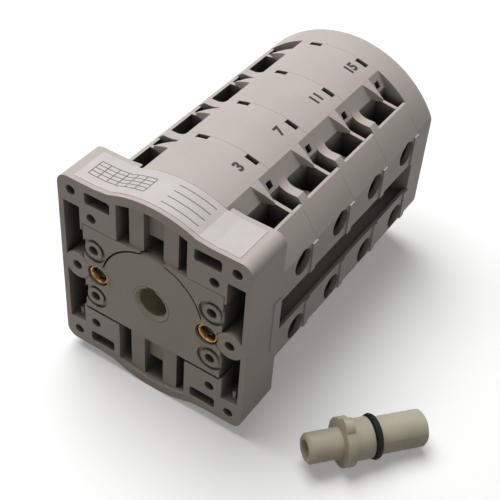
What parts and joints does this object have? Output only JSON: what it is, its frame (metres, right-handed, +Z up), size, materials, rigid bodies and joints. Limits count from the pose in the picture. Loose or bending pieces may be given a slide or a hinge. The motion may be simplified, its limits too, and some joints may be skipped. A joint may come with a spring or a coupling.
{
  "type": "rotary cam switch",
  "caption": "Rotary cam switch: round stacked contact housings behind a square front plate, with a keyed drive socket and its coupling shaft laid beside it.",
  "frame": {"origin": "on the rotor's axis, in the plane of the front face, which is the centre of the corner hole pattern", "axes": "+Y runs from the front face to the rear cover along the rotor, +X is to the right and +Z is up, seen from the front of the switch as it lies on its round body"},
  "size_m": [0.097, 0.0955, 0.0621],
  "materials": {
    "housing_grey": "warm light grey moulded plastic, fine grain",
    "index_grey": "light grey moulded plastic",
    "rotor_nylon": "olive cream nylon",
    "cam_nylon": "natural nylon",
    "carrier_black": "black moulded plastic",
    "contact_brass": "dull stamped brass with silver faces",
    "spring_steel": "spring steel",
    "terminal_steel": "dull plated steel",
    "tie_brass": "tarnished bronze-coloured plating",
    "label_white": "matt white printed film",
    "shaft_nylon": "translucent off-white nylon",
    "seal_rubber": "black rubber"
  },
  "bodies": {
    "housing": {"front_frame": "housing_grey", "index_housing": "index_grey", "rear_cover": "housing_grey", "index_springs": "spring_steel", "tie_screws": "tie_brass", "tie_nuts": "terminal_steel", "rating_label": "label_white", "coupling_shaft": "shaft_nylon", "shaft_o_ring": "seal_rubber", "stage_housing_1": "housing_grey", "fixed_contacts_1": "contact_brass", "terminal_clamps_1": "terminal_steel", "terminal_screws_1": "terminal_steel", "stage_housing_2": "housing_grey", "fixed_contacts_2": "contact_brass", "terminal_clamps_2": "terminal_steel", "terminal_screws_2": "terminal_steel", "stage_housing_3": "housing_grey", "fixed_contacts_3": "contact_brass", "terminal_clamps_3": "terminal_steel", "terminal_screws_3": "terminal_steel", "stage_housing_4": "housing_grey", "fixed_contacts_4": "contact_brass", "terminal_clamps_4": "terminal_steel", "terminal_screws_4": "terminal_steel", "contact_spring_1": "spring_steel", "contact_spring_2": "spring_steel", "contact_spring_3": "spring_steel", "contact_spring_4": "spring_steel", "contact_spring_5": "spring_steel", "contact_spring_6": "spring_steel", "contact_spring_7": "spring_steel", "contact_spring_8": "spring_steel"},
    "rotor": {"rotor": "rotor_nylon", "star_wheel": "cam_nylon", "cam_1": "cam_nylon", "cam_2": "cam_nylon", "cam_3": "cam_nylon", "cam_4": "cam_nylon"},
    "carrier_1": {"contact_carrier_1": "carrier_black", "contact_bridge_1": "contact_brass"},
    "carrier_2": {"contact_carrier_2": "carrier_black", "contact_bridge_2": "contact_brass"},
    "carrier_3": {"contact_carrier_3": "carrier_black", "contact_bridge_3": "contact_brass"},
    "carrier_4": {"contact_carrier_4": "carrier_black", "contact_bridge_4": "contact_brass"},
    "carrier_5": {"contact_carrier_5": "carrier_black", "contact_bridge_5": "contact_brass"},
    "carrier_6": {"contact_carrier_6": "carrier_black", "contact_bridge_6": "contact_brass"},
    "carrier_7": {"contact_carrier_7": "carrier_black", "contact_bridge_7": "contact_brass"},
    "carrier_8": {"contact_carrier_8": "carrier_black", "contact_bridge_8": "contact_brass"}
  },
  "joints": [
    {"name": "rotor_turn", "type": "hinge", "parent": "housing", "child": "rotor", "pos_m": [0, 0, 0], "axis": [0, 1, 0], "range_deg": [0, 90], "deforming": ["index_springs"]},
    {"name": "carrier_slide_1", "type": "slide", "parent": "housing", "child": "carrier_1", "axis": [0, 0, 1], "range_m": [-0.0025, 0], "deforming": ["contact_spring_1"]},
    {"name": "carrier_slide_2", "type": "slide", "parent": "housing", "child": "carrier_2", "axis": [0, 0, -1], "range_m": [-0.0025, 0], "deforming": ["contact_spring_2"]},
    {"name": "carrier_slide_3", "type": "slide", "parent": "housing", "child": "carrier_3", "axis": [0, 0, 1], "range_m": [-0.0025, 0], "deforming": ["contact_spring_3"]},
    {"name": "carrier_slide_4", "type": "slide", "parent": "housing", "child": "carrier_4", "axis": [0, 0, -1], "range_m": [-0.0025, 0], "deforming": ["contact_spring_4"]},
    {"name": "carrier_slide_5", "type": "slide", "parent": "housing", "child": "carrier_5", "axis": [0, 0, 1], "range_m": [-0.0025, 0], "deforming": ["contact_spring_5"]},
    {"name": "carrier_slide_6", "type": "slide", "parent": "housing", "child": "carrier_6", "axis": [0, 0, -1], "range_m": [-0.0025, 0], "deforming": ["contact_spring_6"]},
    {"name": "carrier_slide_7", "type": "slide", "parent": "housing", "child": "carrier_7", "axis": [0, 0, 1], "range_m": [-0.0025, 0], "deforming": ["contact_spring_7"]},
    {"name": "carrier_slide_8", "type": "slide", "parent": "housing", "child": "carrier_8", "axis": [0, 0, -1], "range_m": [-0.0025, 0], "deforming": ["contact_spring_8"]}
  ],
  "couplings": [
    {"joint": "carrier_slide_1", "follows": "rotor_turn", "m_per_rad": -0.0015915},
    {"joint": "carrier_slide_2", "follows": "rotor_turn", "m_per_rad": -0.0015915},
    {"joint": "carrier_slide_3", "follows": "rotor_turn", "m_per_rad": -0.0015915},
    {"joint": "carrier_slide_4", "follows": "rotor_turn", "m_per_rad": -0.0015915},
    {"joint": "carrier_slide_5", "follows": "rotor_turn", "m_per_rad": -0.0015915},
    {"joint": "carrier_slide_6", "follows": "rotor_turn", "m_per_rad": -0.0015915},
    {"joint": "carrier_slide_7", "follows": "rotor_turn", "m_per_rad": -0.0015915},
    {"joint": "carrier_slide_8", "follows": "rotor_turn", "m_per_rad": -0.0015915}
  ]
}
